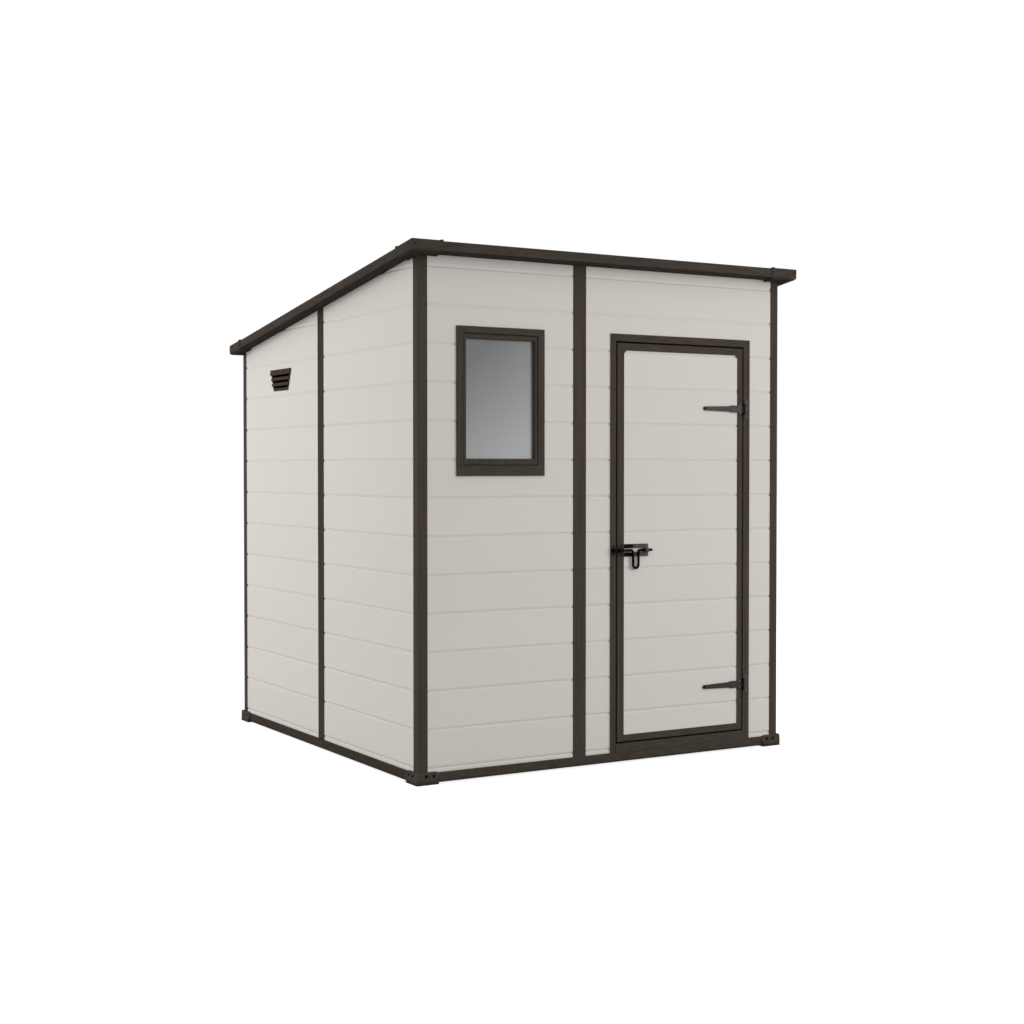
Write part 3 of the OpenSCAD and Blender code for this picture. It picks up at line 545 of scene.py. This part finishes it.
def cross_outline(arm, half):
    """A cross, anticlockwise from the end of its right arm."""
    middle = (arm + half) / 2
    quarter = [(arm, 0), (arm, half), (middle, half), (half, half), (half, middle), (half, arm)]
    points = []
    for c, s in ((1, 0), (0, 1), (-1, 0), (0, -1)):
        points += [(u * c - v * s, u * s + v * c) for u, v in quarter]
    return points


def circle_outline(radius):
    turns = [math.tau * i / POINTS for i in range(POINTS)]
    return [(radius * math.cos(a), radius * math.sin(a)) for a in turns]


def add_screw(bm, spot, out, radius, height, turn):
    """A domed screw head with a cross recess, standing on a face at spot."""
    rings = [
        (circle_outline(radius), -SCREW_SINK),
        (circle_outline(radius), 0.35 * height),
        (circle_outline(0.93 * radius), 0.7 * height),
        (circle_outline(0.76 * radius), 0.92 * height),
        (circle_outline(0.6 * radius), height),
        (cross_outline(0.48 * radius, 0.12 * radius), height),
        (cross_outline(0.42 * radius, 0.09 * radius), 0.35 * height),
    ]
    stand = out.to_track_quat("Z", "Y").to_matrix() @ Matrix.Rotation(turn, 3, "Z")
    made = [[bm.verts.new(spot + stand @ Vector((u, v, h))) for u, v in outline] for outline, h in rings]
    for low, high in zip(made, made[1:]):
        for i in range(POINTS):
            j = (i + 1) % POINTS
            bm.faces.new((low[i], low[j], high[j], high[i]))
    bm.faces.new(list(reversed(made[0])))
    bm.faces.new(made[-1])


def screws(name, heads, radius, height, body, look):
    """One piece of several heads, each given as a spot on a face and the way that the face looks."""
    bm = bmesh.new()
    for i, (spot, out) in enumerate(heads):
        add_screw(bm, Vector(spot), Vector(out), radius, height, SCREW_TURN * i)
    piece(name, bm, look, body)


# The way that the front looks.
FRONT = (0, -1, 0)


def foot_screws():
    """Two heads on both outer faces of each foot, above its foot plate."""
    lo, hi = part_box("base_feet")
    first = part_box("corner_post_front_left")[0]
    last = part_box("corner_post_back_right")[1]
    # The feet's faces lean in by this much for each metre up.
    lean = 0.07
    z = 0.0345
    face = lean * z
    heads = []
    for along in (0.030, 0.064):
        for x in (first[0] + along, last[0] - along):
            for y, sy in ((lo[1] + face, -1), (hi[1] - face, 1)):
                heads.append(((x, y, z), (0, sy, lean)))
        for y in (first[1] + along, last[1] - along):
            for x, sx in ((lo[0] + face, -1), (hi[0] - face, 1)):
                heads.append(((x, y, z), (sx, 0, lean)))
    screws("foot_screws", heads, 0.0064, 0.0016, "shed", screw_look)


def hinge_screws():
    """Heads along both straps and on both plates on the casing."""
    lo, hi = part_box("hinge_straps")
    strap_foot_half = 0.022
    foot_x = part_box("door_frame")[1][0] - 0.0135
    root_x = foot_x - 0.036
    tip_x = lo[0] + 0.0088
    plate_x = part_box("hinge_plates")[1][0] - 0.0125
    foot_up, plate_up = 0.0145, 0.032
    front = CASING_FRONT - HINGE_T
    tips, feet, plates = [], [], []
    for z in (lo[2] + strap_foot_half, hi[2] - strap_foot_half):
        tips.append(((tip_x, front, z), FRONT))
        feet.append(((root_x, front, z), FRONT))
        for up in (-foot_up, foot_up):
            feet.append(((foot_x, front, z + up), FRONT))
        for up in (-plate_up, 0.0, plate_up):
            plates.append(((plate_x, front, z + up), FRONT))
    screws("hinge_tip_screws", tips, 0.0056, 0.0016, "door", screw_look)
    screws("hinge_foot_screws", feet, 0.0046, 0.0014, "door", worn_screw_look)
    screws("hinge_plate_screws", plates, 0.0048, 0.0014, "shed", worn_screw_look)


def latch_screws():
    """Six heads on the latch plate, the outermost two worn, and two on the keeper."""
    lo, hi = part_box("latch_plate")
    keeper_lo, keeper_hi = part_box("latch_keeper")
    keeper_x = (keeper_lo[0] + keeper_hi[0]) / 2
    middle = (lo[2] + hi[2]) / 2
    plate_up, keeper_up = 0.018, 0.0162
    front = CASING_FRONT - LATCH_T
    dark, worn, keeper = [], [], []
    for side in (-1, 1):
        for along, heads in ((0.015, dark), (0.056, dark), (0.140, worn)):
            heads.append(((lo[0] + along, front, middle + side * plate_up), FRONT))
        keeper.append(((keeper_x, front, middle + side * keeper_up), FRONT))
    screws("latch_screws", dark, 0.0048, 0.0013, "door", screw_look)
    screws("latch_end_screws", worn, 0.0048, 0.0013, "door", worn_screw_look)
    screws("keeper_screws", keeper, 0.0042, 0.0013, "shed", screw_look)


# How far the outer corners of the roof's corner caps are rounded.
CAP_ROUND = 0.006
# Places nearer than this count as the same.
NEAR = 1e-4


def rounded_caps():
    """The corner caps again, with the real ones' rounded outer corners: a modifier can't round
    a corner by more than the cap's own thickness."""
    cad = nodes["roof_corner_caps"]
    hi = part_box("roof_corner_caps")[1]
    bm = bmesh.new()
    bm.from_mesh(cad.data)
    bmesh.ops.remove_doubles(bm, verts=bm.verts, dist=WELD_GAP)
    bmesh.ops.dissolve_limit(bm, angle_limit=FLAT_ANGLE, verts=bm.verts, edges=bm.edges)
    bm.normal_update()
    # The angle, in radians, from which an edge is rounded, and how long an edge along an arm is.
    sharp = 0.5
    long_run = 0.05

    def reaches_side(spot):
        return abs(spot.x) > hi[0] - NEAR

    def reaches_end(spot):
        return abs(spot.y) > hi[1] - NEAR

    def rounded(edge):
        a, b = (v.co for v in edge.verts)
        outer = all(reaches_side(spot) or reaches_end(spot) for spot in (a, b))
        if not outer or edge.calc_face_angle(0) < sharp:
            return False
        run = max(abs(a.x - b.x), abs(a.y - b.y))
        return run > long_run or (run < NEAR and reaches_side(a) and reaches_end(a))

    bmesh.ops.bevel(
        bm, geom=[e for e in bm.edges if rounded(e)], offset=CAP_ROUND, segments=4,
        profile=0.5, affect="EDGES", clamp_overlap=False,
    )
    obj = piece("roof_caps_rounded", bm, roof_front_look, "shed")
    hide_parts("roof_corner_caps")


# The band at the inner end of a corner cap's arm: its length along the arm, how far it stands
# proud and reaches into the arm, and the rounding of its edges.
BAND_W = 0.013
BAND_T = 0.0012
BAND_SINK = 0.0006
BAND_ROUND = 0.0006


def hull(points):
    """Convex outline of points, anticlockwise."""

    def half(order):
        out = []
        for p in order:
            while len(out) > 1:
                a, b = out[-2], out[-1]
                if (b[0] - a[0]) * (p[1] - a[1]) - (b[1] - a[1]) * (p[0] - a[0]) > 1e-9:
                    break
                out.pop()
            out.append(p)
        return out[:-1]

    points = sorted(set(points))
    return half(points) + half(points[::-1])


def offset_path(path, distance):
    """The path moved to its right by the distance, with mitred corners."""
    out = []
    for i, p in enumerate(path):
        ways = [(b - a).normalized() for a, b in zip(path[max(i - 1, 0) : i + 1], path[i : i + 2])]
        if i == 0:
            ways = [(path[1] - path[0]).normalized()]
        if i == len(path) - 1:
            ways = [(path[-1] - path[-2]).normalized()]
        sides = [Vector((w.y, -w.x)) for w in ways]
        side = sum(sides, Vector((0, 0))).normalized()
        out.append(p + side * distance / side.dot(sides[0]))
    return out


def arm_end(cap, axis):
    """The inner end of a cap's arm along an axis, and its outline there as seen along the arm:
    from the wall under the arm, round its outer face, to the top's inner edge."""
    end = min(abs(v[axis]) for v in cap)
    across = 1 - axis
    spots = {(round(abs(v[across]), 5), round(v.z, 5)) for v in cap if abs(v[axis]) < end + NEAR}
    ring = [Vector(p) for p in hull(spots)]
    start = min(range(len(ring)), key=lambda i: (ring[i].x, ring[i].y))
    return end, (ring[start:] + ring[:start])[:-1]


def add_band(bm, cap, axis, sides):
    """A band round one arm of the cap in the corner that the two sides name."""
    end, path = arm_end(cap, axis)
    section = offset_path(path, BAND_T) + offset_path(path, -BAND_SINK)[::-1]
    rise = 0 if axis == 0 else -FALL * sides[1]
    across = 1 - axis
    made = []
    for step in (0, BAND_W):
        level = []
        for p in section:
            spot = Vector((0, 0, p.y + rise * step))
            spot[axis] = sides[axis] * (end + step)
            spot[across] = sides[across] * p.x
            level.append(bm.verts.new(spot))
        made.append(level)
    n = len(section)
    for i in range(n):
        bm.faces.new((made[0][i], made[0][(i + 1) % n], made[1][(i + 1) % n], made[1][i]))
    for level in made:
        for i in range(n // 2 - 1):
            bm.faces.new((level[i], level[i + 1], level[n - 2 - i], level[n - 1 - i]))


def cap_bands():
    """A raised band round the inner end of each arm of the corner caps."""
    corners = [v.co for v in nodes["roof_corner_caps"].data.vertices]
    for sx, side in ((-1, "left"), (1, "right")):
        for sy, end in ((-1, "front"), (1, "back")):
            cap = [v for v in corners if v.x * sx > 0 and v.y * sy > 0]
            bm = bmesh.new()
            for axis in (0, 1):
                add_band(bm, cap, axis, (sx, sy))
            band = piece(f"cap_bands_{end}_{side}", bm, roof_front_look, "shed")
            round_edges(band, BAND_ROUND, 1)


def cap_screws():
    """A head near the corner on each outer face of the corner caps."""
    lo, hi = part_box("roof_corner_caps")
    inset, drop = 0.018, 0.0208
    back_top = hi[2] - FALL * (hi[1] - lo[1])
    heads = []
    for x, sx in ((lo[0], -1), (hi[0], 1)):
        for y, sy, top in ((lo[1], -1, hi[2]), (hi[1], 1, back_top)):
            middle = top - drop
            heads.append(((x - sx * inset, y, middle), (0, sy, 0)))
            heads.append(((x, y - sy * inset, middle + sy * FALL * inset), (sx, 0, 0)))
    screws("cap_screws", heads, 0.0042, 0.0014, "shed", cap_screw_look)


rounded_caps()
foot_screws()
hinge_screws()
latch_screws()
cap_bands()
cap_screws()

# ---- Studio ----

# The floor's grey as the light meets it; its own glow and its grey as it is shown.
FLOOR_BOUNCE = 0.3
FLOOR_GLOW = 0.8
FLOOR_SHADE = 0.3
FLOOR_RADIUS = 60.0
# Strength of the sky at the horizon and at the zenith.
SKY_LOW = 0.73
SKY_TOP = 1.221
SOFTBOX_SIZE = 2.5


def shown_rays(tree):
    """1 for the rays that show the background: to the camera, in gloss and through glass."""
    path = tree.nodes.new("ShaderNodeLightPath")
    last = path.outputs["Is Camera Ray"]
    for name in ("Is Glossy Ray", "Is Transmission Ray"):
        n = tree.nodes.new("ShaderNodeMath")
        n.operation = "MAXIMUM"
        tree.links.new(last, n.inputs[0])
        tree.links.new(path.outputs[name], n.inputs[1])
        last = n.outputs[0]
    return last


def studio_floor():
    """A pale floor that shows white away from the object's shadow."""
    bm = bmesh.new()
    bmesh.ops.create_circle(bm, cap_ends=True, radius=FLOOR_RADIUS, segments=64)
    mesh = bpy.data.meshes.new("studio_floor")
    bm.to_mesh(mesh)
    bm.free()
    obj = bpy.data.objects.new("studio_floor", mesh)
    scene.collection.objects.link(obj)
    mat = bpy.data.materials.new("studio_floor_look")
    mat.use_nodes = True
    tree = mat.node_tree
    tree.nodes.clear()
    out = tree.nodes.new("ShaderNodeOutputMaterial")
    choice = tree.nodes.new("ShaderNodeMixShader")
    plain = tree.nodes.new("ShaderNodeBsdfDiffuse")
    shown = tree.nodes.new("ShaderNodeAddShader")
    faint = tree.nodes.new("ShaderNodeBsdfDiffuse")
    glow = tree.nodes.new("ShaderNodeEmission")
    plain.inputs["Color"].default_value = (FLOOR_BOUNCE,) * 3 + (1,)
    faint.inputs["Color"].default_value = (FLOOR_SHADE,) * 3 + (1,)
    glow.inputs["Strength"].default_value = FLOOR_GLOW
    tree.links.new(shown_rays(tree), choice.inputs[0])
    tree.links.new(plain.outputs[0], choice.inputs[1])
    tree.links.new(shown.outputs[0], choice.inputs[2])
    tree.links.new(faint.outputs[0], shown.inputs[0])
    tree.links.new(glow.outputs[0], shown.inputs[1])
    tree.links.new(choice.outputs[0], out.inputs["Surface"])
    mesh.materials.append(mat)


def studio_sky():
    """Soft light that grows towards the zenith; the rays that show the background see white."""
    world = bpy.data.worlds.new("studio")
    world.use_nodes = True
    scene.world = world
    tree = world.node_tree
    tree.nodes.clear()
    out = tree.nodes.new("ShaderNodeOutputWorld")
    back = tree.nodes.new("ShaderNodeBackground")
    back.inputs["Color"].default_value = (1, 1, 1, 1)
    way = tree.nodes.new("ShaderNodeTexCoord")
    split = tree.nodes.new("ShaderNodeSeparateXYZ")
    sky = tree.nodes.new("ShaderNodeMapRange")
    white = tree.nodes.new("ShaderNodeMapRange")
    tree.links.new(way.outputs["Generated"], split.inputs[0])
    tree.links.new(split.outputs[2], sky.inputs[0])
    for socket, value in zip(list(sky.inputs)[1:5], (0.0, 1.0, SKY_LOW, SKY_TOP)):
        socket.default_value = value
    tree.links.new(shown_rays(tree), white.inputs[0])
    for socket, value in zip(list(white.inputs)[1:3], (0.0, 1.0)):
        socket.default_value = value
    tree.links.new(sky.outputs[0], white.inputs[3])
    white.inputs[4].default_value = 1.0
    tree.links.new(white.outputs[0], back.inputs["Strength"])
    tree.links.new(back.outputs[0], out.inputs["Surface"])


def softbox(name, spot, target, power):
    """A square lamp that lights the object and isn't seen, nor mirrored in it."""
    data = bpy.data.lights.new(name, "AREA")
    data.size = SOFTBOX_SIZE
    data.energy = power
    obj = bpy.data.objects.new(name, data)
    obj.location = spot
    obj.rotation_euler = (Vector(target) - Vector(spot)).to_track_quat("-Z", "Y").to_euler()
    obj.visible_camera = False
    obj.visible_glossy = False
    scene.collection.objects.link(obj)


studio_floor()
studio_sky()
softbox("left_softbox", spot=(-4.5, 1.6, 2.6), target=(-0.9, 0.6, 1.5), power=81)
softbox("front_softbox", spot=(3.2, -4.8, 2.6), target=(0.6, -0.93, 1.4), power=93)
softbox("back_softbox", spot=(3.4, 4.6, 2.6), target=(0.6, 0.8, 1.4), power=110)

scene.view_settings.view_transform = "Standard"

# ---- Camera ----

# Degrees that the camera looks down, and to the right of straight at the front.
LOOKS_DOWN = 1.2098
LOOKS_RIGHT = 30.6024

camera = bpy.data.cameras.new("camera")
camera.lens = 55.4
camera.sensor_width = 36.0
camera.shift_y = -0.0109
camera.clip_end = 500
eye = bpy.data.objects.new("camera", camera)
eye.location = (-3.7629, -6.4811, 1.2615)
eye.rotation_euler = (math.radians(90 - LOOKS_DOWN), 0, math.radians(-LOOKS_RIGHT))
scene.collection.objects.link(eye)
scene.camera = eye
